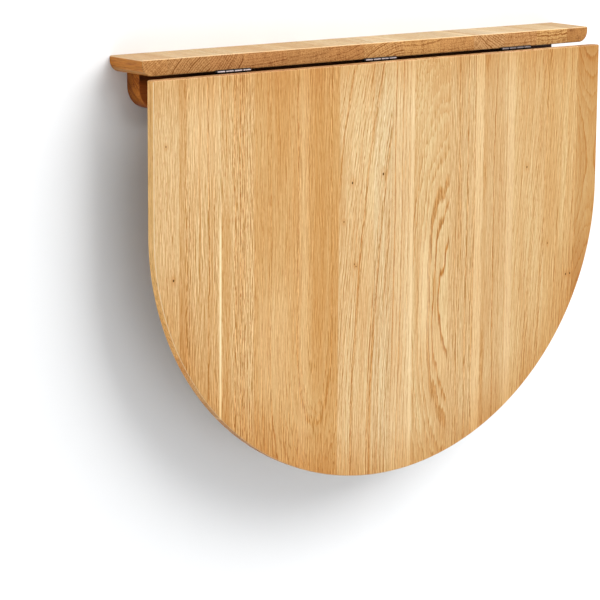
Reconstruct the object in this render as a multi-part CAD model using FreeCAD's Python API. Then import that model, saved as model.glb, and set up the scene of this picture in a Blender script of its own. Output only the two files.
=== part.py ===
import FreeCAD, Part
import os
from math import pi, sin, cos, sqrt, atan2
from FreeCAD import Vector as V

os.makedirs("parts", exist_ok=True)

# ---------------------------------------------------------------- dimensions
# Frame: X along the wall, +Y into the wall (wall plane y = 0), +Z up.
# Origin: middle of the line of wall screws in the rail, on the wall plane.
WIDTH = 900.0            # length of shelf and leaf
HALF = WIDTH / 2

SHELF_T = 25.0           # shelf thickness
SHELF_D = 85.0           # shelf depth
SHELF_END_R = 18.0       # rounded lower end edges of the shelf
EDGE_R = 1.8             # broken edges of the boards
CORNER_R = 2.5           # eased corners of the boards

RAIL_HALF = 419.0        # half length of the wall rail
RAIL_H = 58.0
RAIL_D = 32.0
RAIL_END_R = 35.0

LEAF_T = 16.0
LEAF_STRAIGHT = 232.0    # straight part of the leaf's sides
LEAF_BOW = 431.0         # depth of the half ellipse
LEAF_BACK_Y = -97.7      # back face of the hanging leaf
LEAF_TOP_Z = 26.4        # top edge of the hanging leaf

# glue lines between the staves, shared by shelf and leaf
SEAMS = [-404.5, -326.5, -264.5, -182.0, -100.0, -30.0, 51.5, 126.5, 198.0, 264.5, 335.0, 403.0]

HINGE_X = [-286.0, 0.0, 286.0]
HINGE_L = 64.0
HINGE_Y = -88.0          # hinge axis
HINGE_Z = 28.3
KNUCKLE_R = 3.0
HINGE_PIN_R = 1.5
PLATE_T = 1.5
KNUCKLE_GAP = 0.3
PIN_FIT = 0.05           # running clearance of a hinge knuckle
SEAT_FIT = 0.02          # clearance where a pin is held

BRACKET_X = 342.0        # folding arms stand at plus and minus this
ARM_Y = -58.0            # arm pivot
ARM_Z = -1.7
ARM_PIN_R = 4.0
ARM_FIT = 0.05
ARM_TOP = 37.2           # arm's bearing side above its pivot
ARM_HALF = 9.0
ARM_SHEET = 2.0
PAD_T = 2.2
LOCK_R = 18.0            # lock pin position on the raised arm: outward, up
LOCK_H = -6.0
LOCK_PIN_R = 3.0
LOCK_FIT = 0.05
LOCK_STROKE = 4.0

CHEEK_IN = 10.0
CHEEK_OUT = 12.0
LEG_T = 2.5
LEG_HALF = 20.0
LEG_TOP = 13.0
LEG_BOTTOM = -130.0

POST_HALF = 25.0
POST_BOTTOM = -300.0

WALL_SCREW_X = 200.0     # clearance holes for the wall screws in the rail
POST_SCREW_Z = [-170.0, -270.0]
WALL_HOLE_R = 2.75
HOLE_EASE = 0.05         # room round screws and dowels in the wood

DOWEL_R = 5.0
DOWEL_X = [-365.0, -165.0, 0.0, 165.0, 365.0]
DOWEL_Y = -16.0
POST_DOWEL_R = 4.0
POST_DOWEL_DX = 8.0

RAIL_TOP = RAIL_H / 2
SHELF_Z0 = RAIL_TOP
SHELF_Z1 = SHELF_Z0 + SHELF_T
LEAF_FRONT_Y = LEAF_BACK_Y - LEAF_T


# ------------------------------------------------------------------- helpers
def seg(a, b):
    return Part.LineSegment(a, b).toShape()


def arc(a, m, b):
    return Part.Arc(a, m, b).toShape()


def face(edges):
    return Part.Face(Part.Wire(Part.__sortEdges__(edges)))


def box(x0, x1, y0, y1, z0, z1):
    return Part.makeBox(x1 - x0, y1 - y0, z1 - z0, V(x0, y0, z0))


def cyl(r, a, b):
    d = b.sub(a)
    return Part.makeCylinder(r, d.Length, a, d)


def cone(r0, r1, a, b):
    d = b.sub(a)
    return Part.makeCone(r0, r1, d.Length, a, d)


def fuse(shapes):
    s = shapes[0]
    if len(shapes) > 1:
        s = s.fuse(shapes[1:])
    return s.removeSplitter()


def cut(shape, tools):
    bb = shape.BoundBox
    for t in tools:
        if bb.intersect(t.BoundBox):
            shape = shape.cut(t)
    return shape


def edges_at_y(shape, y):
    """Edges that lie in the plane of this y."""
    out = []
    for e in shape.Edges:
        b = e.BoundBox
        if abs(b.YMin - y) < 1e-4 and abs(b.YMax - y) < 1e-4:
            out.append(e)
    return out


def prism_x(yz, x0, x1):
    """Polygon of (y, z) points carried from x0 to x1."""
    pts = [V(x0, y, z) for y, z in yz]
    f = Part.Face(Part.makePolygon(pts + [pts[0]]))
    return f.extrude(V(x1 - x0, 0, 0))


def hull_x(circles, x0, x1):
    """Outline round circles (y, z, r) given counter-clockwise seen along -X
    (y to the right, z up), carried from x0 to x1."""
    n = len(circles)
    ms = []
    for i in range(n):
        (ay, az, ar), (by, bz, br) = circles[i], circles[(i + 1) % n]
        L = sqrt((by - ay) ** 2 + (bz - az) ** 2)
        d = ((by - ay) / L, (bz - az) / L)
        s = (ar - br) / L
        c = sqrt(1 - s * s)
        ms.append((s * d[0] + c * d[1], s * d[1] - c * d[0]))
    edges = []
    for i in range(n):
        ay, az, ar = circles[i]
        by, bz, br = circles[(i + 1) % n]
        m = ms[i]
        edges.append(seg(V(x0, ay + ar * m[0], az + ar * m[1]),
                         V(x0, by + br * m[0], bz + br * m[1])))
        if br > 0:
            k = ms[(i + 1) % n]
            a0 = atan2(m[1], m[0])
            a1 = atan2(k[1], k[0])
            while a1 < a0:
                a1 += 2 * pi
            am = (a0 + a1) / 2
            edges.append(arc(V(x0, by + br * m[0], bz + br * m[1]),
                             V(x0, by + br * cos(am), bz + br * sin(am)),
                             V(x0, by + br * k[0], bz + br * k[1])))
    return face(edges).extrude(V(x1 - x0, 0, 0))


def staves(board):
    """The board cut along the glue lines."""
    xs = [-HALF - 5] + SEAMS + [HALF + 5]
    b = board.BoundBox
    out = []
    for x0, x1 in zip(xs, xs[1:]):
        out.append(board.common(box(x0, x1, b.YMin - 5, b.YMax + 5, b.ZMin - 5, b.ZMax + 5)))
    return out


def screw(p, d, head_r, shank_r, head_h, length, ease=0.0):
    """Countersunk wood screw: head face centre p, pointing along d.
    With ease it is the hole that takes the screw, without its recess."""
    d = V(d[0], d[1], d[2])
    at = lambda t: p.add(V(d.x * t, d.y * t, d.z * t))
    s = [cone(head_r + ease, shank_r + ease, at(-ease), at(head_h)),
         cyl(shank_r + ease, at(head_h), at(length - 3.0)),
         cone(shank_r + ease, 0.4 + ease, at(length - 3.0), at(length + ease))]
    body = s[0].fuse(s[1:]).removeSplitter()
    if ease:
        return body
    # cross recess
    w, l, h = head_r * 0.24, head_r * 1.1, head_h * 0.7
    if abs(d.z) > 0.5:
        a = Part.makeBox(w, l, h * 2, p.add(V(-w / 2, -l / 2, -h)))
        b = Part.makeBox(l, w, h * 2, p.add(V(-l / 2, -w / 2, -h)))
    else:
        a = Part.makeBox(w, h * 2, l, p.add(V(-w / 2, -h, -l / 2)))
        b = Part.makeBox(l, h * 2, w, p.add(V(-l / 2, -h, -w / 2)))
    return body.cut(a).cut(b)


nodes = {}

# ------------------------------------------------------- screws and their holes
shelf_screw_at, leaf_screw_at, leg_screw_at = [], [], []
for hx in HINGE_X:
    for dx, y in ((-25, -65), (25, -65), (-9, -76), (9, -76)):
        shelf_screw_at.append(V(hx + dx, y, SHELF_Z0 - PLATE_T))
    for dx, z in ((-25, -9), (25, -9), (-9, 4), (9, 4)):
        leaf_screw_at.append(V(hx + dx, LEAF_BACK_Y + PLATE_T, z))
for s in (-1, 1):
    for z in (-12, -70, -118):
        for dx in (-16, 16):
            leg_screw_at.append(V(s * BRACKET_X + dx, -RAIL_D - LEG_T, z))

UP, OUT, IN = (0, 0, 1), (0, -1, 0), (0, 1, 0)
SHELF_SCREW = (3.3, 1.75, 1.5, 17.0)
LEAF_SCREW = (3.3, 1.75, 1.5, 13.0)
LEG_SCREW = (4.0, 2.1, 2.1, 28.0)
shelf_screws = [screw(p, UP, *SHELF_SCREW) for p in shelf_screw_at]
leaf_screws = [screw(p, OUT, *LEAF_SCREW) for p in leaf_screw_at]
leg_screws = [screw(p, IN, *LEG_SCREW) for p in leg_screw_at]
shelf_screw_holes = [screw(p, UP, *SHELF_SCREW, ease=HOLE_EASE) for p in shelf_screw_at]
leaf_screw_holes = [screw(p, OUT, *LEAF_SCREW, ease=HOLE_EASE) for p in leaf_screw_at]
leg_screw_holes = [screw(p, IN, *LEG_SCREW, ease=HOLE_EASE) for p in leg_screw_at]

# ---------------------------------------------------------------------- dowels
def dowel(x, y, z0, z1, r):
    d = cyl(r, V(x, y, z0), V(x, y, z1))
    return d.makeChamfer(1.0, [e for e in d.Edges if abs(e.BoundBox.ZLength) < 1e-4])


rail_dowels = [dowel(x, DOWEL_Y, 9.0, 47.0, DOWEL_R) for x in DOWEL_X]
rail_dowel_holes = [cyl(DOWEL_R + HOLE_EASE, V(x, DOWEL_Y, 8.0), V(x, DOWEL_Y, 48.0)) for x in DOWEL_X]
post_dowels, post_dowel_holes = [], []
for s in (-1, 1):
    for dx in (-POST_DOWEL_DX, POST_DOWEL_DX):
        x = s * BRACKET_X + dx
        post_dowels.append(dowel(x, DOWEL_Y, -54.0, -6.0, POST_DOWEL_R))
        post_dowel_holes.append(cyl(POST_DOWEL_R + HOLE_EASE, V(x, DOWEL_Y, -55.0), V(x, DOWEL_Y, -5.0)))

# ----------------------------------------------------------------------- shelf
c45 = 1 - sqrt(0.5)
H, Z0, Z1, R, K = HALF, SHELF_Z0, SHELF_Z1, SHELF_END_R, CORNER_R
y = -SHELF_D
outline = [
    seg(V(-H + R, y, Z0), V(H - R, y, Z0)),
    arc(V(H - R, y, Z0), V(H - R * c45, y, Z0 + R * c45), V(H, y, Z0 + R)),
    seg(V(H, y, Z0 + R), V(H, y, Z1 - K)),
    arc(V(H, y, Z1 - K), V(H - K * c45, y, Z1 - K * c45), V(H - K, y, Z1)),
    seg(V(H - K, y, Z1), V(-H + K, y, Z1)),
    arc(V(-H + K, y, Z1), V(-H + K * c45, y, Z1 - K * c45), V(-H, y, Z1 - K)),
    seg(V(-H, y, Z1 - K), V(-H, y, Z0 + R)),
    arc(V(-H, y, Z0 + R), V(-H + R * c45, y, Z0 + R * c45), V(-H + R, y, Z0)),
]
shelf = face(outline).extrude(V(0, SHELF_D, 0))
shelf = shelf.makeFillet(EDGE_R, edges_at_y(shelf, -SHELF_D))
for i, s in enumerate(staves(shelf)):
    nodes["shelf_stave_%02d" % (i + 1)] = cut(s, shelf_screw_holes + rail_dowel_holes)

# ------------------------------------------------------------------- drop leaf
ZT = LEAF_TOP_Z
ZC = LEAF_TOP_Z - LEAF_STRAIGHT
y = LEAF_FRONT_Y
bow = Part.Ellipse(V(H, y, ZC), V(0, y, ZC - LEAF_BOW), V(0, y, ZC))
outline = [
    seg(V(-H + K, y, ZT), V(H - K, y, ZT)),
    arc(V(H - K, y, ZT), V(H - K * c45, y, ZT - K * c45), V(H, y, ZT - K)),
    seg(V(H, y, ZT - K), V(H, y, ZC)),
    bow.toShape(0, pi),
    seg(V(-H, y, ZC), V(-H, y, ZT - K)),
    arc(V(-H, y, ZT - K), V(-H + K * c45, y, ZT - K * c45), V(-H + K, y, ZT)),
]
leaf = face(outline).extrude(V(0, LEAF_T, 0))
leaf = leaf.makeFillet(EDGE_R, edges_at_y(leaf, LEAF_FRONT_Y) + edges_at_y(leaf, LEAF_BACK_Y))
for i, s in enumerate(staves(leaf)):
    nodes["leaf_stave_%02d" % (i + 1)] = cut(s, leaf_screw_holes)

# ------------------------------------------------------------------- wall rail
RH, RZ, RR = RAIL_HALF, RAIL_TOP, RAIL_END_R
y = -RAIL_D
outline = [
    seg(V(-RH, y, RZ), V(RH, y, RZ)),
    seg(V(RH, y, RZ), V(RH, y, -RZ + RR)),
    arc(V(RH, y, -RZ + RR), V(RH - RR * c45, y, -RZ + RR * c45), V(RH - RR, y, -RZ)),
    seg(V(RH - RR, y, -RZ), V(-RH + RR, y, -RZ)),
    arc(V(-RH + RR, y, -RZ), V(-RH + RR * c45, y, -RZ + RR * c45), V(-RH, y, -RZ + RR)),
    seg(V(-RH, y, -RZ + RR), V(-RH, y, RZ)),
]
rail = face(outline).extrude(V(0, RAIL_D, 0))
front = [e for e in edges_at_y(rail, -RAIL_D) if e.BoundBox.ZMin < RAIL_TOP - 1]
rail = rail.makeFillet(EDGE_R, front)
holes = []
for x in (-WALL_SCREW_X, WALL_SCREW_X):
    holes.append(cyl(WALL_HOLE_R, V(x, -RAIL_D - 1, 0), V(x, 1, 0)))
    holes.append(cone(5.6, WALL_HOLE_R, V(x, -RAIL_D, 0), V(x, -RAIL_D + 3.2, 0)))
nodes["wall_rail"] = cut(rail, rail_dowel_holes + post_dowel_holes + leg_screw_holes + holes)
nodes["rail_dowels"] = Part.makeCompound(rail_dowels)

# ------------------------------------------------------------------ wall posts
for s, side in ((-1, "left"), (1, "right")):
    cx = s * BRACKET_X
    p = box(cx - POST_HALF, cx + POST_HALF, -RAIL_D, 0, POST_BOTTOM, -RAIL_TOP)
    foot = [e for e in p.Edges if e.BoundBox.ZMax < POST_BOTTOM + 1 and
            abs(e.BoundBox.YMin + RAIL_D) < 1e-4 and abs(e.BoundBox.YMax + RAIL_D) < 1e-4]
    p = p.makeFillet(14.0, foot)
    uprights = [e for e in p.Edges if e.BoundBox.ZLength > 200 and abs(e.BoundBox.YMax + RAIL_D) < 1e-4]
    p = p.makeFillet(EDGE_R, uprights)
    holes = []
    for z in POST_SCREW_Z:
        holes.append(cyl(WALL_HOLE_R, V(cx, -RAIL_D - 1, z), V(cx, 1, z)))
        holes.append(cone(5.6, WALL_HOLE_R, V(cx, -RAIL_D, z), V(cx, -RAIL_D + 3.2, z)))
    nodes["wall_post_" + side] = cut(p, post_dowel_holes + leg_screw_holes + holes)
nodes["post_dowels"] = Part.makeCompound(post_dowels)

# ---------------------------------------------------------------------- hinges
step = HINGE_L / 4
for n, (hx, tag) in enumerate(zip(HINGE_X, ("left", "middle", "right"))):
    x0 = hx - HINGE_L / 2
    spans = [(x0 + i * step + KNUCKLE_GAP / 2, x0 + (i + 1) * step - KNUCKLE_GAP / 2) for i in range(4)]
    spans[0] = (x0, spans[0][1])
    spans[3] = (spans[3][0], x0 + HINGE_L)
    A = lambda x: V(x, HINGE_Y, HINGE_Z)

    # shelf plate lies under the shelf, knuckles 1 and 3
    base = box(x0, x0 + HINGE_L, HINGE_Y + 3.6, -56.0, SHELF_Z0 - PLATE_T, SHELF_Z0)
    base = base.makeFillet(4.0, [e for e in base.Edges if e.BoundBox.ZLength > 1 and e.BoundBox.YMin > -57])
    parts = [base]
    for a, b in (spans[0], spans[2]):
        parts.append(box(a, b, HINGE_Y, HINGE_Y + 4.0, SHELF_Z0 - PLATE_T, SHELF_Z0))
        parts.append(cyl(KNUCKLE_R, A(a), A(b)))
    plate = fuse(parts).cut(cyl(HINGE_PIN_R + SEAT_FIT, A(x0 - 1), A(x0 + HINGE_L + 1)))
    nodes["hinge_%s_shelf_plate" % tag] = cut(plate, shelf_screw_holes)

    # leaf plate is cranked forward to the leaf's back, knuckles 2 and 4
    t = PLATE_T / 2
    yb = LEAF_BACK_Y
    top = HINGE_Z - KNUCKLE_R - 0.7
    profile = [(HINGE_Y + t, top), (HINGE_Y + t, 20.15), (yb + PLATE_T, 12.65), (yb + PLATE_T, -17.0),
               (yb, -17.0), (yb, 13.35), (HINGE_Y - t, 20.85), (HINGE_Y - t, top)]
    crank = prism_x(profile, x0, x0 + HINGE_L)
    crank = crank.makeFillet(4.0, [e for e in crank.Edges if e.BoundBox.YLength > 1.2 and
                                   e.BoundBox.ZMax < -16 and e.BoundBox.XLength < 0.01])
    parts = [crank]
    for a, b in (spans[1], spans[3]):
        parts.append(box(a, b, HINGE_Y - t, HINGE_Y + t, top - 1.0, HINGE_Z))
        parts.append(cyl(KNUCKLE_R, A(a), A(b)))
    plate = fuse(parts).cut(cyl(HINGE_PIN_R + PIN_FIT, A(x0 - 1), A(x0 + HINGE_L + 1)))
    nodes["hinge_%s_leaf_plate" % tag] = cut(plate, leaf_screw_holes)

    # pin with a small head at its left end
    pin = cyl(HINGE_PIN_R, A(x0 - 0.5), A(x0 + HINGE_L - 0.5))
    head = cyl(2.3, A(x0 - 2.2), A(x0 - 0.1))
    head = head.makeFillet(0.7, [e for e in head.Edges if e.BoundBox.XMax < x0 - 2.1])
    nodes["hinge_%s_pin" % tag] = fuse([pin, head])

nodes["shelf_hinge_screws"] = Part.makeCompound(shelf_screws)
nodes["leaf_hinge_screws"] = Part.makeCompound(leaf_screws)

# ---------------------------------------------------------------- folding arms
# Arm outlines are given raised, as outward r and height h above the pivot;
# the arm is modelled hanging, where r runs down and h runs forward.
for s, side in ((-1, "left"), (1, "right")):
    cx = s * BRACKET_X

    # wall leg: back plate with two cheeks
    plate = box(cx - LEG_HALF, cx + LEG_HALF, -RAIL_D - LEG_T, -RAIL_D, LEG_BOTTOM, LEG_TOP)
    plate = plate.makeFillet(5.0, [e for e in plate.Edges if e.BoundBox.YLength > 2 and e.BoundBox.ZLength < 0.01
                                   and e.BoundBox.XLength < 0.01])
    parts = [plate]
    cheek = [(-RAIL_D - LEG_T + 0.5, LEG_TOP - 1, 0), (ARM_Y, ARM_Z, 13.0),
             (ARM_Y - LOCK_R, ARM_Z + LOCK_H, 9.5), (-RAIL_D - LEG_T + 0.5, -84.0, 0)]
    for a, b in ((-CHEEK_OUT, -CHEEK_IN), (CHEEK_IN, CHEEK_OUT)):
        parts.append(hull_x(cheek, cx + a, cx + b))
    leg = fuse(parts)
    leg = leg.cut(cyl(ARM_PIN_R + SEAT_FIT, V(cx - 30, ARM_Y, ARM_Z), V(cx + 30, ARM_Y, ARM_Z)))
    ly, lz = ARM_Y - LOCK_R, ARM_Z + LOCK_H
    inner = -s
    X = lambda d: cx + inner * d
    leg = leg.cut(cyl(5.0 + SEAT_FIT, V(X(CHEEK_IN - 1), ly, lz), V(X(CHEEK_OUT + 1), ly, lz)))
    nodes["wall_leg_" + side] = cut(leg, leg_screw_holes)

    # pivot pin, riveted over at both ends
    pin = cyl(ARM_PIN_R, V(cx - CHEEK_OUT - 1, ARM_Y, ARM_Z), V(cx + CHEEK_OUT + 1, ARM_Y, ARM_Z))
    heads = []
    for e in (-1, 1):
        a = V(cx + e * (CHEEK_OUT + 0.02), ARM_Y, ARM_Z)
        b = V(cx + e * (CHEEK_OUT + 3.2), ARM_Y, ARM_Z)
        h = cyl(6.8, a, b)
        heads.append(h.makeFillet(2.4, [k for k in h.Edges if abs(k.BoundBox.XMin - b.x) < 1e-3
                                        and k.BoundBox.XLength < 1e-3]))
    nodes["arm_pivot_" + side] = fuse([pin] + heads)

    # arm: two flanges and a web on the bearing side
    P = lambda r, h, c: (ARM_Y - h, ARM_Z - r, c)
    # hub, notch beside it, bearing side, tip, lug of the lock hole
    side_view = [P(0, 0, 12.0), P(30, 14, 0.0), P(46, ARM_TOP - 6, 6.0),
                 P(334, ARM_TOP - 7.2, 7.2), P(LOCK_R, LOCK_H, 7.5)]
    arm = hull_x(side_view, cx - ARM_HALF, cx + ARM_HALF)
    arm = arm.cut(box(cx - ARM_HALF + ARM_SHEET, cx + ARM_HALF - ARM_SHEET,
                      ARM_Y - ARM_TOP + ARM_SHEET, ARM_Y + 40, ARM_Z - 360, ARM_Z + 40))
    arm = arm.cut(cyl(ARM_PIN_R + ARM_FIT, V(cx - 30, ARM_Y, ARM_Z), V(cx + 30, ARM_Y, ARM_Z)))
    py, pz = ARM_Y - LOCK_H, ARM_Z - LOCK_R
    arm = arm.cut(cyl(LOCK_PIN_R + 0.1, V(X(0), py, pz), V(X(20), py, pz)))
    nodes["arm_" + side] = arm

    pad = box(cx - 8, cx + 8, ARM_Y - ARM_TOP - PAD_T, ARM_Y - ARM_TOP, ARM_Z - 326, ARM_Z - 266)
    pad = pad.makeFillet(3.0, [e for e in pad.Edges if e.BoundBox.YLength > 1])
    nodes["arm_pad_" + side] = pad

    # index plunger: bush in the inner cheek, pin and knob
    hexa = []
    for i in range(6):
        a = pi / 6 + i * pi / 3
        hexa.append((ly + 8.0 * cos(a), lz + 8.0 * sin(a)))
    nut = prism_x(hexa, X(CHEEK_OUT + 0.02), X(17.0))
    sleeve = cyl(6.0, V(X(16.5), ly, lz), V(X(26.0), ly, lz))
    neckb = cyl(5.0, V(X(CHEEK_IN + 0.2), ly, lz), V(X(13.0), ly, lz))
    bush = fuse([nut, sleeve, neckb])
    nodes["lock_bush_" + side] = bush.cut(cyl(LOCK_PIN_R + LOCK_FIT, V(X(5), ly, lz), V(X(40), ly, lz)))
    tip = cyl(LOCK_PIN_R, V(X(9.6), ly, lz), V(X(38.0), ly, lz))
    tip = tip.makeFillet(0.8, [e for e in tip.Edges if e.BoundBox.XLength < 1e-3 and
                               abs(e.BoundBox.XMin - X(9.6)) < 1e-2])
    nodes["lock_pin_" + side] = tip
    knob = cyl(8.5, V(X(30.6), ly, lz), V(X(42.0), ly, lz))
    knob = knob.makeFillet(2.4, [e for e in knob.Edges if e.BoundBox.XLength < 1e-3])
    nodes["lock_knob_" + side] = knob.cut(cyl(LOCK_PIN_R + SEAT_FIT, V(X(29), ly, lz), V(X(38.02), ly, lz)))

nodes["leg_screws"] = Part.makeCompound(leg_screws)

# ----------------------------------------------------------------------- write
for name, shape in nodes.items():
    solids = shape.Solids
    bad = [i for i, k in enumerate(solids) if not k.isValid()]
    b = shape.BoundBox
    print("%-26s solids %2d  vol %10.1f  x %.1f..%.1f y %.1f..%.1f z %.1f..%.1f %s" % (
        name, len(solids), sum(k.Volume for k in solids), b.XMin, b.XMax, b.YMin, b.YMax, b.ZMin, b.ZMax,
        "INVALID" if bad else ""))
    out = solids[0] if len(solids) == 1 else Part.makeCompound(solids)
    out.exportStep("parts/%s.step" % name)
print(len(nodes), "nodes")
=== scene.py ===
import bpy
from math import radians, sin, cos, pi
from mathutils import Vector, Matrix

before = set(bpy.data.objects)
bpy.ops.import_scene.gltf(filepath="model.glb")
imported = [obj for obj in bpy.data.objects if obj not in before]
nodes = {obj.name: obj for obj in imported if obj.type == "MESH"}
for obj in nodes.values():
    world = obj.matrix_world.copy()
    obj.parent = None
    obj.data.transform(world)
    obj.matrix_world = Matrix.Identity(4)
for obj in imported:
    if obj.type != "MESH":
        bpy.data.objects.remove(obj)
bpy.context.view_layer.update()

scene = bpy.context.scene


# ------------------------------------------------------------- node shorthand
class Tree:
    """A material's nodes, written as expressions. Values are sockets or numbers."""

    def __init__(self, name):
        self.mat = bpy.data.materials.new(name)
        self.mat.use_nodes = True
        self.t = self.mat.node_tree
        self.t.nodes.clear()
        self.out = self.t.nodes.new("ShaderNodeOutputMaterial")
        self.bsdf = self.t.nodes.new("ShaderNodeBsdfPrincipled")
        self.t.links.new(self.bsdf.outputs["BSDF"], self.out.inputs["Surface"])

    def put(self, socket, v):
        if isinstance(v, bpy.types.NodeSocket):
            self.t.links.new(v, socket)
        elif v is not None:
            socket.default_value = v

    def coord(self, which):
        return self.t.nodes.new("ShaderNodeTexCoord").outputs[which]

    def math(self, op, a, b=None, c=None, clamp=False):
        n = self.t.nodes.new("ShaderNodeMath")
        n.operation = op
        n.use_clamp = clamp
        for i, v in enumerate((a, b, c)):
            self.put(n.inputs[i], v)
        return n.outputs[0]

    def add(self, a, b): return self.math("ADD", a, b)
    def sub(self, a, b): return self.math("SUBTRACT", a, b)
    def mul(self, a, b): return self.math("MULTIPLY", a, b)
    def mad(self, a, b, c): return self.math("MULTIPLY_ADD", a, b, c)

    def vec(self, op, a, b=None, c=None):
        n = self.t.nodes.new("ShaderNodeVectorMath")
        n.operation = op
        for i, v in enumerate((a, b, c)):
            self.put(n.inputs[i], v)
        return n.outputs[0]

    def split(self, v):
        n = self.t.nodes.new("ShaderNodeSeparateXYZ")
        self.put(n.inputs[0], v)
        return n.outputs

    def join(self, x, y, z):
        n = self.t.nodes.new("ShaderNodeCombineXYZ")
        for i, v in enumerate((x, y, z)):
            self.put(n.inputs[i], v)
        return n.outputs[0]

    def noise(self, v, scale, detail=2.0, rough=0.5, colour=False, dims="3D"):
        n = self.t.nodes.new("ShaderNodeTexNoise")
        n.noise_dimensions = dims
        if dims == "1D":
            self.put(n.inputs["W"], v)
        else:
            self.put(n.inputs["Vector"], v)
        n.inputs["Scale"].default_value = scale
        n.inputs["Detail"].default_value = detail
        n.inputs["Roughness"].default_value = rough
        return n.outputs["Color" if colour else "Fac"]

    def white(self, v):
        n = self.t.nodes.new("ShaderNodeTexWhiteNoise")
        n.noise_dimensions = "1D"
        self.put(n.inputs["W"], v)
        return n.outputs["Value"]

    def step(self, v, a, b, lo=0.0, hi=1.0, kind="SMOOTHSTEP"):
        n = self.t.nodes.new("ShaderNodeMapRange")
        n.interpolation_type = kind
        self.put(n.inputs["Value"], v)
        n.inputs["From Min"].default_value = a
        n.inputs["From Max"].default_value = b
        n.inputs["To Min"].default_value = lo
        n.inputs["To Max"].default_value = hi
        return n.outputs["Result"]

    def mix(self, f, a, b, kind="MIX"):
        n = self.t.nodes.new("ShaderNodeMix")
        n.data_type = "RGBA"
        n.blend_type = kind
        n.clamp_factor = True
        self.put(n.inputs[0], f)
        for i, v in ((6, a), (7, b)):
            self.put(n.inputs[i], v if isinstance(v, bpy.types.NodeSocket) else (*v, 1.0))
        return n.outputs[2]

    def bump(self, height, distance, strength):
        n = self.t.nodes.new("ShaderNodeBump")
        self.put(n.inputs["Height"], height)
        n.inputs["Distance"].default_value = distance
        n.inputs["Strength"].default_value = strength
        return n.outputs["Normal"]


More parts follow.
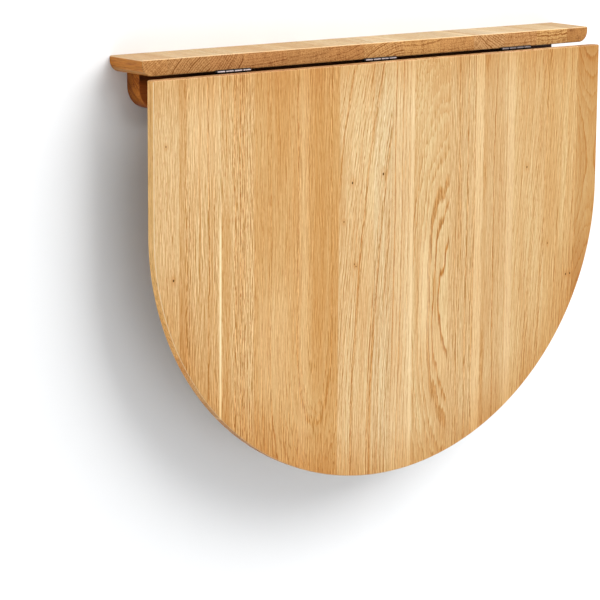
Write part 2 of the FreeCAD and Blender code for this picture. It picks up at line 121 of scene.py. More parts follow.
# ------------------------------------------------------------------------ oak
# A board is described in its own section: x across it, w down from its top
# face, s along the grain, all in millimetres. Growth rings run round a pith
# line at (px, pw); tilt and bow move that line along the grain, which draws
# the arches of a flat-sawn face. Shelf and leaf staves share the same board.
def oak(name, B, kind):
    g = Tree(name)
    obj = g.coord("Object")
    nrm = g.split(g.coord("Normal"))
    o = g.split(obj)
    if kind == "leaf":
        base, off, along, across = obj, (0.0, 113.7, -26.4), nrm[2], nrm[0]
    elif kind == "shelf":
        base, off, along, across = g.join(o[0], g.mul(o[2], -1.0), o[1]), (0.0, 54.0, 90.0), nrm[1], nrm[0]
    elif kind == "rail":
        base, off, along, across = g.join(o[2], o[1], o[0]), (0.0, 32.0, 0.0), nrm[0], nrm[2]
    else:
        base, off, along, across = obj, (0.0, 32.0, 0.0), nrm[2], nrm[0]
    p = g.vec("MULTIPLY_ADD", base, (1000.0,) * 3, off)
    q = g.vec("ADD", p, (B["seed"] * 137.0, B["seed"] * 71.0, B["seed"] * 913.0))

    # slow waves of the grain, then the jagged edge that long pores give an arch
    wave = g.vec("SUBTRACT", g.noise(g.vec("MULTIPLY", q, (0.006, 0.006, 0.0026)), 1.0, 2.0, 0.45, True), (0.5, 0.5, 0.5))
    fine = g.vec("SUBTRACT", g.noise(g.vec("MULTIPLY", q, (0.050, 0.050, 0.0090)), 1.0, 2.0, 0.5, True), (0.5, 0.5, 0.5))
    jag = g.sub(g.noise(g.vec("MULTIPLY", q, (0.34, 0.34, 0.016)), 1.0, 2.0, 0.6), 0.5)
    a = B["wave"]
    v = g.vec("MULTIPLY_ADD", wave, (a, a * 0.7, 0.0), p)
    v = g.vec("MULTIPLY_ADD", fine, (B["fine"], B["fine"], 0.0), v)
    x, w, s = g.split(v)
    s = g.mad(jag, B["jag"], s)

    def rings(R):
        ds = g.sub(s, R["s0"])
        dl = ds if R["low"] is None else g.math("MINIMUM", g.sub(s, R["low"]), 0.0)
        depth = g.mad(g.mul(dl, dl), R["bow"], g.mad(ds, R["tilt"], R["pw"]))
        dx = g.sub(g.mad(ds, -R["slant"], x), R["px"])
        if R["curve"]:
            dx = g.mad(g.mul(ds, ds), -R["curve"], dx)
        dw = g.sub(w, depth)
        r = g.math("SQRT", g.add(g.mul(dx, dx), g.mul(dw, dw)))
        t = g.mad(g.noise(r, 0.09, 2.0, 0.6, dims="1D"), R["uneven"], g.mul(r, 1.0 / R["ring"]))
        i = g.math("FLOOR", t)
        f = g.sub(t, i)
        lot = g.white(g.add(i, R["seed"]))
        early = g.mul(g.mul(g.step(f, 0.0, 0.08), g.step(f, 0.09, 0.38, 1.0, 0.0)), g.mad(lot, 0.95, 0.20))
        late = g.mul(g.step(f, 0.55, 0.90), g.mad(lot, -0.6, 0.9))
        return early, late, r, dx, dw, t

    early, late, r, dx, dw, t = rings(B)
    gx = dx
    if B["second"]:
        at, amount, other = B["second"]
        m = g.step(o[0], (at - 4.0) / 1000, (at + 4.0) / 1000)
        left = rings(dict(B, **other))
        e2 = g.mul(left[0], amount)
        early = g.mad(m, g.sub(early, e2), e2)
        gx = g.mad(m, g.sub(dx, left[3]), left[3])
    face = early
    for (axis, a0, a1, lo, hi) in B["fade"]:
        face = g.mul(face, g.step(o[axis], a0 / 1000, a1 / 1000, lo, hi))

    # pores: short dark strokes along the grain, thickest in the early wood
    stroke = g.noise(g.vec("MULTIPLY", q, (0.80, 0.80, 0.085)), 1.0, 1.0, 0.5)
    pores = g.mul(g.step(stroke, 0.58, 0.67), g.mad(early, 0.70, 0.45))
    fleck = g.sub(g.noise(g.vec("MULTIPLY", q, (0.60, 0.60, 0.085)), 1.0, 2.0, 0.75), 0.5)
    hair = g.sub(g.noise(g.vec("MULTIPLY", q, (0.50, 0.50, 0.0085)), 1.0, 2.0, 0.60), 0.5)
    strip = g.vec("MULTIPLY", g.vec("ADD", g.join(gx, w, s), (B["seed"] * 137.0, B["seed"] * 71.0, B["seed"] * 913.0)), (0.50, 0.50, 0.036))
    strand = g.sub(g.noise(strip, 1.0, 1.0, 0.50), g.noise(g.vec("ADD", strip, (1.0, 0.0, 0.0)), 1.0, 1.0, 0.50))
    speck = g.sub(g.noise(g.vec("MULTIPLY", q, (0.52, 0.52, 0.15)), 1.0, 1.0, 0.5), 0.5)
    band = g.sub(g.noise(g.vec("MULTIPLY", q, (0.034, 0.034, 0.0034)), 1.0, 2.0, 0.5), 0.5)

    across = g.math("ABSOLUTE", across)
    # on the shelf the side faces also take in the rounded corners under its ends, for the painted shade there
    if kind == "shelf":
        across = g.math("MAXIMUM", across, g.mul(nrm[2], g.step(g.math("ABSOLUTE", o[0]), 0.414, 0.432, 0.0, -1.0)))
    side = g.step(across, 0.55, 0.95)
    k = g.mad(face, 0.62 * B["lines"], B["tone"] + 0.12)
    if B["sidelines"]:
        k = g.mad(g.mul(side, early), B["sidelines"], k)
    k = g.mad(late, -0.30 * B["lines"], k)
    k = g.mad(hair, B["hair"], k)
    k = g.mad(fleck, B["fleck"], k)
    k = g.mad(band, B["band"], k)
    top = B["top"] if kind == "shelf" else (1.0, 1.0, 1.0)
    light, dark = (tuple(c * m * f * h for c, m, f, h in zip(B[key], B["tint"], B["face"], top)) for key in ("light", "dark"))
    tone = g.math("MULTIPLY", k, 1.0, clamp=True)
    col = g.mix(tone, light, dark)
    if B["core"]:
        # painted shade: the rail's ends keep their darker, redder colours as in shade; its middle takes these plain oak
        # colours
        col = g.mix(g.step(g.math("ABSOLUTE", o[0]), 0.330, 0.390), g.mix(tone, *B["core"]), col)
    col = g.mix(g.math("MULTIPLY", face, B["lines"], clamp=True), col, (0.81, 0.74, 0.58), "MULTIPLY")
    d = 0.165 * B["strand"]
    thread = g.mul(g.mad(strand, 2.5, g.mul(speck, 0.9)), g.mad(face, 2.0, 0.42))
    thread = g.math("ADD", thread, 0.5, clamp=True)
    thread = g.mix(thread, (1.0 - 1.1 * d, 1.0 - 1.45 * d, 1.0 - 2.4 * d), (1.0 + 1.1 * d, 1.0 + 1.45 * d, 1.0 + 2.4 * d))
    col = g.mix(1.0, col, thread, "MULTIPLY")
    col = g.mix(g.mul(pores, B["pores"]), col, tuple(c * m for c, m in zip(dark, (0.80, 0.62, 0.40))))

    # pale sapwood, darker strips and pin knots that single boards show
    for (x0, x1, z0, z1, c, amount, soft) in B["stripes"]:
        if kind == "shelf" and z1 < 0:
            continue
        lo, hi, e = x0 / 1000, x1 / 1000, soft / 1000
        m = g.mul(g.step(o[0], lo - e, lo + e), g.step(o[0], hi - e, hi + e, 1.0, 0.0))
        if kind == "leaf":
            m = g.mul(m, g.mul(g.step(o[2], (z0 - 40) / 1000, (z0 + 40) / 1000), g.step(o[2], (z1 - 40) / 1000, (z1 + 40) / 1000, 1.0, 0.0)))
        m = g.mul(m, g.math("MULTIPLY_ADD", fleck, 1.6, 0.92, clamp=True))
        col = g.mix(g.mul(m, amount), col, c)
    pin = None
    if kind == "leaf":
        for (kx, kz, ra) in B["pins"]:
            d = g.vec("SUBTRACT", obj, (kx / 1000, -0.1137, kz / 1000))
            d = g.vec("MULTIPLY", d, (1.0, 1.0, 0.66))
            n = g.t.nodes.new("ShaderNodeVectorMath")
            n.operation = "LENGTH"
            g.put(n.inputs[0], d)
            halo = g.step(n.outputs["Value"], ra * 0.0016, ra * 0.0085, 1.0, 0.0)
            spot = g.step(n.outputs["Value"], ra * 0.0009, ra * 0.0014, 1.0, 0.0)
            col = g.mix(g.mul(halo, 0.30), col, dark)
            col = g.mix(spot, col, (0.085, 0.034, 0.003))
            pin = spot if pin is None else g.add(pin, spot)

    # the leaf darker and more amber within about 70 mm of its top edge and of the lower part of its curved edge
    if kind == "leaf":
        xm = g.mul(o[0], 1.0 / 0.450)
        zm = g.math("MINIMUM", g.mul(g.add(o[2], 0.2056), 1.0 / 0.431), 0.0)
        e = g.math("SQRT", g.add(g.mul(xm, xm), g.mul(zm, zm)))
        low = g.mul(g.math("MULTIPLY_ADD", e, 0.431 / 0.070, 1.0 - 0.431 / 0.070, clamp=True), g.step(zm, -0.34, 0.0, 1.0, 0.0))
        high = g.mul(g.math("MULTIPLY_ADD", o[2], 1.0 / 0.070, 1.0 - 0.0264 / 0.070, clamp=True), 0.74)
        edge_darkening = g.mul(g.math("MAXIMUM", low, high), g.mad(band, 0.5, 1.0))
        col = g.mix(edge_darkening, col, (0.885, 0.755, 0.565), "MULTIPLY")
    if kind == "rail":
        # painted shade: the rail darker towards the wall
        col = g.mix(g.step(o[1], -0.030, -0.001), col, (0.70, 0.66, 0.62), "MULTIPLY")
        # painted shade: a dark band along the rail's top, under the shelf
        col = g.mix(g.step(o[2], 0.008, 0.022), col, (0.30, 0.26, 0.24), "MULTIPLY")
        # painted shade: that band darker still over the rail's right part
        col = g.mix(g.mul(g.step(o[0], 0.250, 0.330), g.step(o[2], 0.010, 0.022)), col, (0.26, 0.18, 0.16), "MULTIPLY")

    # the long edges of a board: painted light makes the leaf's side edges paler, painted shade makes the shelf's ends
    # darker and redder; then its end grain: darker, with pores and rays
    col = g.mix(side, col, B["side"], "MULTIPLY")
    # painted highlight: pale colour on the rounded edges round the leaf's faces, weaker where they face down and none
    # on top, and on the shelf only along its upper edges
    flat = nrm[1] if kind == "leaf" else nrm[2]
    edge_highlight_mask = g.step(g.mul(g.mul(flat, flat), g.sub(1.0, g.mul(flat, flat))), 0.06, 0.20)
    if kind == "shelf":
        edge_highlight_mask = g.mul(g.mul(edge_highlight_mask, g.step(flat, 0.0, 0.3)), 0.6)
    elif kind == "leaf":
        edge_highlight_mask = g.mul(edge_highlight_mask, g.mul(g.step(nrm[2], -0.45, -0.10, 0.25, 1.0), g.step(nrm[2], 0.10, 0.35, 1.0, 0.0)))
    end = g.step(g.math("ABSOLUTE", along), 0.45, 0.92)
    turn = g.math("ARCTAN2", dw, dx)
    rays = g.noise(g.join(g.mul(turn, B["rays"]), g.mul(r, 0.030), B["seed"]), 1.0, 2.0, 0.65)
    dots = g.step(g.noise(g.vec("MULTIPLY", q, (0.62, 0.62, 0.02)), 1.0, 2.0, 0.6), 0.50, 0.66)
    patch = g.noise(g.vec("MULTIPLY", q, (0.07, 0.07, 0.01)), 1.0, 2.0, 0.5)
    te = g.mul(t, B["ring"] / B["endring"])
    fe = g.math("FRACT", te)
    arcs = g.mul(g.mul(g.step(fe, 0.0, 0.14), g.step(fe, 0.20, 0.55, 1.0, 0.0)), g.mad(g.white(g.math("FLOOR", te)), 0.7, 0.3))
    endk = g.mad(arcs, B["endlines"], g.mad(g.step(rays, 0.40, 0.62), 0.75, g.mad(dots, 0.80, g.mad(patch, 0.8, -0.70))))
    if kind == "shelf":
        # layers at the board's own angle, crossed by fine rays
        deg, bend, gap, amount, sway = B["lay"]
        cx, cw = B["mid"] - bend * sin(radians(deg)), 12.5 - bend * cos(radians(deg))
        wob = g.vec("SUBTRACT", g.noise(g.vec("MULTIPLY", q, (0.07, 0.07, 0.0)), 1.0, 2.0, 0.5, True), (0.5, 0.5, 0.5))
        ex, ew, es = g.split(g.vec("MULTIPLY_ADD", wob, (sway, sway, 0.0), p))
        ex, ew = g.sub(ex, cx), g.sub(ew, cw)
        rad = g.math("SQRT", g.add(g.mul(ex, ex), g.mul(ew, ew)))
        te = g.mad(g.noise(rad, 0.16, 2.0, 0.6, dims="1D"), 1.6, g.mul(rad, 1.0 / gap))
        fe = g.math("FRACT", te)
        lines = g.mul(g.mul(g.step(fe, 0.0, 0.10), g.step(fe, 0.18, 0.52, 1.0, 0.0)), g.mad(g.white(g.math("FLOOR", te)), 0.65, 0.35))
        ray = g.noise(g.join(g.mul(g.math("ARCTAN2", ew, ex), abs(bend) * 0.50), g.mul(rad, 0.06), B["seed"]), 1.0, 1.0, 0.5)
        endk = g.mad(lines, amount, g.mad(g.step(ray, 0.44, 0.64), 0.34, g.mad(dots, 0.72, g.mad(patch, 0.70, -0.46))))
    pale, deep = (tuple(c * m * e for c, m, e in zip(B["end"], k3, B["endtint"])) for k3 in ((1.0, 1.03, 1.05), (0.40, 0.23, 0.0)))
    endc = g.mix(g.math("MULTIPLY", endk, 1.0, clamp=True), pale, deep)
    if kind == "shelf":
        grit = g.sub(g.noise(g.vec("MULTIPLY", q, (0.40, 0.46, 0.0)), 1.0, 2.0, 0.6), 0.5)
        endc = g.mix(1.0, endc, g.mix(g.math("MULTIPLY_ADD", grit, 2.4, 0.5, clamp=True), (0.83, 0.77, 0.64), (1.17, 1.23, 1.36)), "MULTIPLY")
    if kind == "rail":
        # painted shade: the rail's end grain darker towards the wall
        endc = g.mix(g.step(o[1], -0.030, -0.001), endc, (0.62, 0.58, 0.52), "MULTIPLY")
    col = g.mix(end, col, endc)
    # painted highlight on the rounded edges
    if kind in ("leaf", "shelf"):
        col = g.mix(g.mul(edge_highlight_mask, g.mad(fleck, 0.8, 0.74)), col, PAINTED_EDGE_HIGHLIGHT)

    g.put(g.bsdf.inputs["Base Color"], col)
    rough = g.mad(pores, 0.16, g.mad(strand, 0.12, g.mad(end, 0.14, B["rough"])))
    if pin is not None:
        rough = g.mad(pin, 0.45, rough)
    g.put(g.bsdf.inputs["Roughness"], rough)
    g.bsdf.inputs["IOR"].default_value = 1.46
    g.bsdf.inputs["Specular IOR Level"].default_value = 0.26
    height = g.mad(pores, -0.8, g.mad(early, -0.35, g.mul(strand, 0.6)))
    g.put(g.bsdf.inputs["Normal"], g.bump(height, 0.00022, 0.45))
    return g.mat


HONEY = (0.668, 0.468, 0.244)
PALE = (0.641, 0.468, 0.273)
DEEP = (0.425, 0.152, 0.002)
SAP = (0.690, 0.525, 0.300)
RUST = (0.383, 0.178, 0.035)
# colour of the painted highlight on rounded edges
PAINTED_EDGE_HIGHLIGHT = (0.900, 0.690, 0.420)
CREAM = (0.745, 0.580, 0.342)


def board(seed, **k):
    b = dict(seed=seed, px=0.0, pw=60.0, tilt=0.0, bow=0.0, slant=0.0, curve=0.0, s0=-300.0, ring=3.2, uneven=2.2, wave=10.0, fine=3.0, jag=16.0,
             lines=0.46, hair=0.45, strand=1.0, fleck=0.08, band=0.50, tone=0.24, pores=0.55, light=PALE, dark=DEEP, tint=(1.0, 1.0, 1.0),
             end=(0.500, 0.245, 0.070), endlines=0.44, endring=3.0, rays=42.0, side=(1.0, 1.0, 1.0), rough=0.46, stripes=(), pins=(), fade=(), low=None, second=None, sidelines=0.0, endtint=(1.0, 1.0, 1.0), face=(1.0, 1.0, 1.0), top=(1.0, 1.0, 1.0), core=None)
    b.update(k)
    return b


WARM = [(-179, -161, -640, 40, HONEY, 0.18, 5.0), (-152, -96, -660, -20, RUST, 0.34, 7.0), (-262, -196, -270, 40, RUST, 0.20, 8.0), (-255, -200, -480, -320, HONEY, 0.16, 8.0)]
BOARDS = [
    # pale, fine and straight
    board(1.3, strand=1.41, top=(0.90, 0.77, 0.64), tint=(0.874, 0.875, 0.779), px=-505, pw=-14, ring=3.4, sidelines=0.9, lines=0.20, tone=0.19, band=0.3, wave=8, pins=[(-427.6, -72.4, 0.8), (-414.7, -275.0, 1.2)],
          endtint=(0.903, 0.890, 0.962)),
    # straight, with dark streaks and a warmer edge
    board(2.9, strand=2.20, top=(0.85, 0.80, 0.73), tint=(0.878, 0.890, 0.795), px=-520, pw=-50, ring=6.8, lines=0.40, tone=0.28, wave=12,
          stripes=[(-405, -391, -620, 40, RUST, 0.46, 3.0), (-367.5, -365.0, -330, 20, RUST, 0.50, 0.8), (-344.5, -342.0, -330, 20, RUST, 0.55, 0.8),
                   (-357, -346, -560, -180, RUST, 0.22, 3.0), (-382.0, -333.0, -560, -300, RUST, 0.20, 6.0), (-392.0, -330.0, -130, 20, HONEY, 0.25, 4.0), (-330.0, -326.2, -525, -195, CREAM, 0.95, 0.5)], endtint=(0.846, 0.847, 0.948), rays=52),
    # darker strip beside the pale sapwood line
    board(4.1, strand=2.16, top=(0.98, 1.02, 1.07), tint=(0.884, 0.893, 0.784), px=-415, pw=90, ring=6.0, lines=0.36, tone=0.31, wave=12, pores=0.85,
          stripes=[(-325.5, -307.0, -620, -170, RUST, 0.40, 3.5), (-318.5, -316.5, -330, 20, RUST, 0.25, 0.8)],
          endtint=(0.821, 0.763, 0.817), rays=52),
    # one warm flat-sawn figure over two staves, its arches only low down
    board(5.2, top=(1.02, 1.07, 1.20), tint=(0.868, 0.852, 0.688), px=-147, pw=30, low=-400, bow=0.00062, ring=6.4, lines=0.34, tone=0.39, wave=14, jag=64, hair=0.40, strand=1.48, fade=[(2, -430.0, -330.0, 1.0, 0.40)],
          stripes=WARM, endtint=(0.828, 0.759, 0.783)),
    board(5.2, top=(0.96, 0.96, 0.97), tint=(0.852, 0.820, 0.635), px=-147, pw=30, low=-400, bow=0.00062, ring=6.4, lines=0.34, tone=0.39, wave=14, jag=64, hair=0.40, strand=1.94, fade=[(2, -430.0, -330.0, 1.0, 0.40)],
          stripes=WARM, endtint=(0.823, 0.780, 0.796)),
    # pale, slanting lines
    board(7.4, strand=1.35, top=(0.94, 0.90, 0.85), tint=(0.882, 0.899, 0.817), px=-190, pw=110, slant=0.10, curve=0.00016, ring=7.0, lines=0.50, tone=0.21, wave=16, jag=22, band=0.8,
          stripes=[(-101, -86, -240, -100, RUST, 0.40, 5.0)], pins=[(-73.9, -158.5, 1.2), (-90.1, -218.5, 0.8), (-68.5, -288.0, 0.8), (-65.0, -292.0, 0.7)],
          endtint=(0.824, 0.751, 0.728)),
    # palest, strong straight lines in its right half
    board(7.4, strand=1.51, top=(0.98, 0.97, 0.96), tint=(0.848, 0.883, 0.839), px=-93, pw=30, slant=0.01, ring=6.6, uneven=1.2, lines=0.70, tone=0.16, wave=16, jag=22, band=0.8, second=(8.0, 0.70, dict(px=-190, pw=110, slant=0.10, curve=0.00016, ring=7.0, uneven=2.2)),
          stripes=[(8.0, 52.0, -640, 40, HONEY, 0.22, 4.0), (45.5, 50.6, -640, 40, SAP, 0.42, 0.8)], pins=[(-11.8, -149.9, 1.3)], endtint=(0.975, 1.015, 1.155)),
    # half of a run of long ovals
    board(9.7, strand=1.33, top=(0.97, 0.95, 0.92), tint=(0.834, 0.835, 0.726), px=134, pw=96, bow=0.00030, s0=-395, ring=5.2, lines=0.95, tone=0.18, wave=8, fine=7.0, jag=36, band=0.6,
          fade=[(2, -250.0, -70.0, 1.0, 0.35), (2, -560.0, -430.0, 0.5, 1.0), (1, -111.0, -104.0, 1.0, 0.40)], endtint=(0.959, 0.989, 1.040), stripes=[(52.0, 126.0, -210, 20, RUST, 0.12, 2.0), (62.0, 126.0, -490, -400, HONEY, 0.20, 4.0), (66.0, 88.0, -420, -260, SAP, 0.40, 6.0), (98.5, 101.5, -375, -325, RUST, 0.7, 1.2)]),
    # fine and straight
    board(10.5, strand=1.69, top=(0.98, 1.01, 1.07), tint=(0.841, 0.876, 0.812), px=30, pw=120, ring=6.4, lines=0.36, tone=0.27, wave=10, jag=20, band=0.7, stripes=[(180, 197, -640, 40, HONEY, 0.34, 3.0)],
          endtint=(0.903, 0.879, 0.899)),
    board(11.1, strand=1.18, top=(0.99, 1.04, 1.20), tint=(0.821, 0.839, 0.755), px=203, pw=42, ring=6.0, lines=0.42, tone=0.30, wave=12, stripes=[(198, 206, -640, 40, RUST, 0.24, 3.0), (250.0, 263.5, -640, 40, SAP, 0.36, 2.0)],
          endlines=0.66, endring=3.6, rays=38, endtint=(0.964, 1.049, 1.382)),
    board(12.6, strand=1.17, top=(1.04, 1.10, 1.24), tint=(0.831, 0.841, 0.725), px=420, pw=110, slant=0.06, ring=6.2, lines=0.46, tone=0.26, wave=13, jag=22, pins=[(293.6, -165.6, 1.0)], endtint=(0.947, 0.973, 1.156)),
    board(13.2, strand=1.42, top=(1.05, 1.13, 1.27), tint=(0.815, 0.813, 0.669), px=300, pw=190, slant=0.04, ring=6.2, lines=0.40, tone=0.36, wave=12, pins=[(343.5, -297.5, 0.75), (386.6, -354.9, 1.0), (396.0, -354.3, 1.0)],
          endlines=0.58, endring=3.4, endtint=(1.008, 1.109, 1.279)),
    # wide loops at the end
    board(14.9, top=(1.01, 1.05, 1.05), tint=(0.736, 0.705, 0.528), px=438, pw=70, bow=-0.00055, s0=-190, ring=3.9, lines=0.46, tone=0.43, wave=9, fine=4.0, jag=16, fleck=0.40, hair=0.40, strand=0.63, stripes=[(431.0, 452.0, -640, 40, RUST, 0.22, 4.0)], endtint=(0.734, 0.663, 0.557)),
]

# how each board's rings lie in its front end: angle, bend, spacing, strength, sway
LAYERS = [(38, 160, 3.6, 1.05, 3.0), (46, -140, 3.7, 1.55, 3.5), (53, 150, 4.2, 1.4, 3.5), (4, 500, 3.1, 0.7, 3.5), (6, 500, 3.2, 0.72, 3.5), (14, 260, 4.0, 0.95, 5.0), (21, -150, 3.8, 1.25, 4.0),
          (3, 300, 6.0, 0.66, 5.0), (2, 400, 5.0, 0.85, 4.0), (-36, 140, 4.0, 1.15, 4.0), (0, 500, 3.3, 0.8, 4.0), (0, 300, 5.2, 1.15, 9.0), (2, 300, 5.0, 0.45, 5.0)]
# SHELF side: painted shade, darker and redder ends of the shelf
SHELF = dict(side=(1.125, 0.676, 0.167), face=(0.93, 0.97, 1.0))
# painted light: the leaf's side edges paler, as if lit from the side
LEAF = dict(side=(1.525, 1.385, 1.065), end=(0.540, 0.285, 0.108), sidelines=0.0)
for n in range(13):
    for kind in ("leaf", "shelf"):
        ob = nodes["%s_stave_%02d" % (kind, n + 1)]
        place = dict(lay=LAYERS[n], mid=500.0 * (ob.bound_box[0][0] + ob.bound_box[6][0]))
        m = oak("oak_%s_%02d" % (kind, n + 1), dict(BOARDS[n], **(LEAF if kind == "leaf" else SHELF), **place), kind)
        ob.data.materials.clear()
        ob.data.materials.append(m)


def dress(mat, *names):
    for n in names:
        nodes[n].data.materials.clear()
        nodes[n].data.materials.append(mat)


# painted shade: the first set is the rail's oak darkened and reddened as it looks in deep shade; BROWN is the plain oak
# of the posts and of the rail's middle
RAIL_SHADED = dict(light=(0.400, 0.096, 0.008), dark=(0.180, 0.042, 0.004), end=(0.500, 0.152, 0.0135), rough=0.55)
BROWN = dict(light=(0.445, 0.205, 0.064), dark=(0.230, 0.088, 0.020), end=(0.360, 0.150, 0.042), rough=0.52)
dress(oak("oak_rail", board(21.3, px=80, pw=90, ring=3.6, lines=0.40, tone=0.34, wave=9, s0=0.0, core=(BROWN["light"], BROWN["dark"]), **RAIL_SHADED), "rail"), "wall_rail")
dress(oak("oak_post_left", board(23.1, px=-300, pw=80, ring=3.4, lines=0.40, tone=0.30, wave=8, **BROWN), "post"), "wall_post_left")
dress(oak("oak_post_right", board(25.7, px=410, pw=70, ring=3.8, lines=0.44, tone=0.26, wave=8, **BROWN), "post"), "wall_post_right")


# --------------------------------------------------------------- other pieces
def beech():
    g = Tree("beech")
    p = g.vec("MULTIPLY", g.coord("Object"), (1000.0, 1000.0, 1000.0))
    line = g.noise(g.vec("MULTIPLY", p, (0.5, 0.5, 0.03)), 1.0, 3.0, 0.6)
    fleck = g.step(g.noise(g.vec("MULTIPLY", p, (1.6, 1.6, 0.25)), 1.0, 1.0), 0.60, 0.70)
    col = g.mix(line, (0.62, 0.42, 0.25), (0.45, 0.27, 0.14))
    g.put(g.bsdf.inputs["Base Color"], g.mix(g.mul(fleck, 0.35), col, (0.33, 0.18, 0.09)))
    g.put(g.bsdf.inputs["Roughness"], g.mad(line, 0.2, 0.5))
    g.put(g.bsdf.inputs["Normal"], g.bump(line, 0.0001, 0.4))
    return g.mat


def metal(name, light, dark, rough, metallic, grain=(0.35, 0.35, 0.35), spots=0.3, distance=0.00003, strength=0.3):
    """Metal with cloudy tone, fine tooth and faint rubbed marks."""
    g = Tree(name)
    p = g.vec("MULTIPLY", g.coord("Object"), (1000.0, 1000.0, 1000.0))
    cloud = g.noise(g.vec("MULTIPLY", p, (0.11, 0.11, 0.11)), 1.0, 3.0, 0.6)
    tooth = g.noise(g.vec("MULTIPLY", p, grain), 8.0, 2.0, 0.6)
    mark = g.mul(g.step(g.noise(g.vec("MULTIPLY", p, (0.05, 1.2, 1.2)), 1.0, 2.0, 0.6), 0.58, 0.70), spots)
    g.put(g.bsdf.inputs["Base Color"], g.mix(mark, g.mix(g.step(cloud, 0.3, 0.7), dark, light), tuple(min(1.0, c * 1.8) for c in light)))
    g.put(g.bsdf.inputs["Roughness"], g.mad(tooth, 0.16, g.mad(mark, -0.12, rough)))
    g.bsdf.inputs["Metallic"].default_value = metallic
    g.put(g.bsdf.inputs["Normal"], g.bump(tooth, distance, strength))
    return g.mat


oiled = metal("dark_bronze", (0.020, 0.017, 0.016), (0.010, 0.008, 0.008), 0.34, 1.0, grain=(0.10, 0.5, 0.5))
zinc = metal("zinc_steel", (0.62, 0.62, 0.60), (0.42, 0.43, 0.43), 0.28, 1.0, grain=(0.12, 0.5, 0.5))
coat = metal("powder_coat", (0.040, 0.040, 0.042), (0.028, 0.028, 0.030), 0.48, 0.0, grain=(0.16, 0.16, 0.16), spots=0.08, distance=0.00008, strength=0.6)
knob = metal("knob_plastic", (0.030, 0.030, 0.032), (0.022, 0.022, 0.023), 0.40, 0.0, grain=(0.2, 0.2, 0.2), spots=0.1, distance=0.00004, strength=0.4)


def bronze(name, hx, highlight_gain):
    """Dark bronzed steel, with a painted highlight band round the knuckles and black with oil in the joints between
    them.
    """
    g = Tree(name)
    p = g.vec("MULTIPLY", g.coord("Object"), (1000.0, 1000.0, 1000.0))
    x, y, z = g.split(p)
    dy, dz = g.add(y, 88.0), g.sub(z, 28.3)
    barrel = g.step(g.math("SQRT", g.add(g.mul(dy, dy), g.mul(dz, dz))), 3.3, 4.2, 1.0, 0.0)
    inner = g.math("PINGPONG", g.sub(x, hx - 8.0), 8.0)
    oil = g.mul(g.step(g.sub(8.0, inner), 0.5, 1.7, 1.0, 0.0), barrel)
    cloud = g.noise(p, 0.20, 3.0, 0.6)
    tooth = g.noise(g.vec("MULTIPLY", p, (0.10, 0.5, 0.5)), 8.0, 2.0, 0.6)
    # painted highlight: a patchy band round the knuckles at the height of their axis is paler and rougher metal
    highlight_band = g.mul(g.mul(barrel, g.step(cloud, 0.05, 0.50)), g.mul(g.step(dz, -1.3, -0.5), g.step(dz, 0.5, 1.2, 1.0, 0.0)))
    col = g.mix(g.step(cloud, 0.3, 0.7), (0.012, 0.010, 0.010), (0.030, 0.025, 0.024))
    col = g.mix(highlight_band, col, tuple(highlight_gain * c for c in (0.190, 0.164, 0.166)))
    col = g.mix(g.mul(oil, 0.94), col, (0.004, 0.003, 0.003))
    g.put(g.bsdf.inputs["Base Color"], col)
    g.put(g.bsdf.inputs["Roughness"], g.mad(tooth, 0.14, g.mad(highlight_band, 0.14, g.mad(oil, 0.35, 0.24))))
    g.bsdf.inputs["Metallic"].default_value = 1.0
    g.put(g.bsdf.inputs["Normal"], g.bump(tooth, 0.00003, 0.3))
    return g.mat


def felt():
    g = Tree("felt")
    p = g.vec("MULTIPLY", g.coord("Object"), (1000.0, 1000.0, 1000.0))
    fibre = g.noise(g.vec("MULTIPLY", p, (0.9, 0.9, 0.5)), 2.4, 4.0, 0.75)
    cloud = g.noise(p, 0.25, 2.0, 0.5)
    col = g.mix(fibre, (0.055, 0.044, 0.036), (0.125, 0.104, 0.086))
    g.put(g.bsdf.inputs["Base Color"], g.mix(g.mul(cloud, 0.5), col, (0.075, 0.060, 0.050)))
    g.put(g.bsdf.inputs["Roughness"], g.mad(fibre, 0.1, 0.88))
    g.bsdf.inputs["Sheen Weight"].default_value = 0.35
    g.put(g.bsdf.inputs["Normal"], g.bump(fibre, 0.0004, 0.8))
    return g.mat


dress(beech(), "rail_dowels", "post_dowels")
# the strength of each hinge's painted highlight
for tag, hx, highlight_gain in (("left", -286.0, 3.0), ("middle", 0.0, 2.6), ("right", 286.0, 1.3)):
    dress(bronze("bronze_" + tag, hx, highlight_gain), "hinge_%s_shelf_plate" % tag, "hinge_%s_leaf_plate" % tag)
    dress(oiled, "hinge_%s_pin" % tag)
dress(oiled, "shelf_hinge_screws", "leaf_hinge_screws")
dress(zinc, "leg_screws")
pad = felt()
for side in ("left", "right"):
    dress(coat, "wall_leg_" + side, "arm_" + side)
    dress(zinc, "arm_pivot_" + side, "lock_bush_" + side, "lock_pin_" + side)
    dress(knob, "lock_knob_" + side)
    dress(pad, "arm_pad_" + side)


# ---------------------------------------------------------------------- stage
# A pale wall that runs down into a pale floor. Seen from behind or below it is
# clear, and it is left open where the wood stands flat against it, so that the
# backs of the rail, posts and shelf are lit when seen from behind.
WALL_Y = 0.0003


def opening(x, z, rim=0.003):
    x = abs(x)
    if abs(x - 0.200) < 0.004 and abs(z) < 0.004 or abs(x - 0.342) < 0.004 and min(abs(z + 0.170), abs(z + 0.270)) < 0.004:
        return False
    low = max(x - 0.432, 0.0) ** 2 + min(z - 0.047, 0.0) ** 2 < (0.018 - rim) ** 2
    shelf = x < 0.450 - rim and 0.029 < z < 0.054 - rim and (low or x < 0.432 and z > 0.029 + (0.0 if x < 0.419 - rim else rim) or z > 0.047)
    bow = max(x - 0.384, 0.0) ** 2 + min(z - 0.006, 0.0) ** 2 < (0.035 - rim) ** 2
    rail = x < 0.419 - rim and -0.029 + rim < z < 0.029 and (bow or x < 0.384 or z > 0.006)
    post = abs(x - 0.342) < 0.025 - rim and -0.300 + rim < z < -0.029 + rim
    return shelf or rail or post


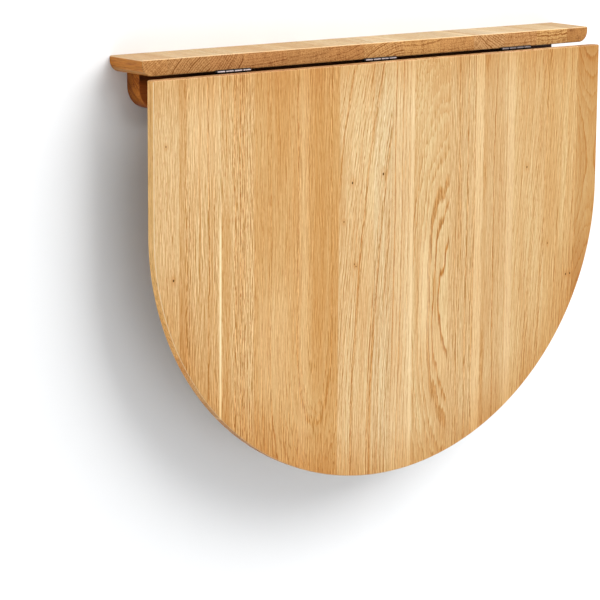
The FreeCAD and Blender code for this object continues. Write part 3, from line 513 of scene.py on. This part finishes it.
def backdrop():
    R, zf, half = 0.30, -1.25, 7.0
    right = [0.196, 0.204] + [0.320 + 0.002 * i for i in range(66)] + [half]
    cols = [-x for x in reversed(right)] + right
    rows = [4.0] + [0.054 - 0.002 * i for i in range(43)] + [-0.166, -0.174, -0.266, -0.274] + [-0.296, -0.297, zf + R]
    profile = [(WALL_Y, z) for z in rows]
    flat = len(profile) - 1
    for i in range(1, 17):
        a = i / 16 * pi / 2
        profile.append((WALL_Y - R + R * cos(a), zf + R - R * sin(a)))
    profile.append((-9.0, zf))
    verts = [(x, y, z) for y, z in profile for x in cols]
    faces, n = [], len(cols)
    for i in range(len(profile) - 1):
        for j in range(n - 1):
            if i < flat and opening((cols[j] + cols[j + 1]) / 2, (profile[i][1] + profile[i + 1][1]) / 2):
                continue
            k = i * n + j
            faces.append((k, k + n, k + n + 1, k + 1))
    me = bpy.data.meshes.new("backdrop")
    me.from_pydata(verts, [], faces)
    me.update()
    for f in me.polygons:
        f.use_smooth = True
    ob = bpy.data.objects.new("backdrop", me)
    scene.collection.objects.link(ob)
    m = bpy.data.materials.new("backdrop")
    m.use_nodes = True
    t = m.node_tree
    t.nodes.clear()
    out = t.nodes.new("ShaderNodeOutputMaterial")
    dif = t.nodes.new("ShaderNodeBsdfDiffuse")
    dif.inputs["Color"].default_value = (0.745, 0.752, 0.759, 1.0)
    clear = t.nodes.new("ShaderNodeBsdfTransparent")
    geo = t.nodes.new("ShaderNodeNewGeometry")
    mix = t.nodes.new("ShaderNodeMixShader")
    t.links.new(geo.outputs["Backfacing"], mix.inputs[0])
    t.links.new(dif.outputs[0], mix.inputs[1])
    t.links.new(clear.outputs[0], mix.inputs[2])
    t.links.new(mix.outputs[0], out.inputs["Surface"])
    me.materials.append(m)


backdrop()


def area(name, loc, aim, size, power, colour=(1.0, 1.0, 1.0)):
    d = bpy.data.lights.new(name, "AREA")
    d.shape = "RECTANGLE"
    d.size, d.size_y = size
    d.energy = power
    d.color = colour
    ob = bpy.data.objects.new(name, d)
    ob.location = loc
    ob.rotation_mode = "QUATERNION"
    ob.rotation_quaternion = (Vector(aim) - Vector(loc)).to_track_quat("-Z", "Y")
    scene.collection.objects.link(ob)
    return ob


area("key", (3.33, -4.18, 4.23), (0.0, 0.0, -0.25), (6.9, 5.1), 640.0)
area("top", (0.1, -2.2, 3.0), (0.1, 0.0, -0.30), (3.0, 2.0), 26.0)

world = bpy.data.worlds.new("world")
scene.world = world
world.use_nodes = True
bg = world.node_tree.nodes["Background"]
bg.inputs["Color"].default_value = (1.0, 1.0, 1.0, 1.0)
bg.inputs["Strength"].default_value = 0.60

# --------------------------------------------------------------------- camera
az, el, roll = radians(37.77013699), radians(11.44952686), radians(0.35996153)
fw = Vector((sin(az) * cos(el), cos(az) * cos(el), -sin(el)))
rt = fw.cross(Vector((0, 0, 1))).normalized()
up = rt.cross(fw)
rt2 = rt * cos(roll) + up * sin(roll)
up2 = up * cos(roll) - rt * sin(roll)
cam = bpy.data.cameras.new("camera")
cam.sensor_width = 36.0
cam.lens = 2692.788 * 36.0 / 600.0
cam.clip_start, cam.clip_end = 0.05, 60.0
ob = bpy.data.objects.new("camera", cam)
m = Matrix((rt2, up2, -fw)).transposed().to_4x4()
m.translation = Vector((-2.679855, -3.345158, 0.495522))
ob.matrix_world = m
scene.collection.objects.link(ob)
scene.camera = ob

scene.view_settings.view_transform = "Standard"
scene.view_settings.look = "None"
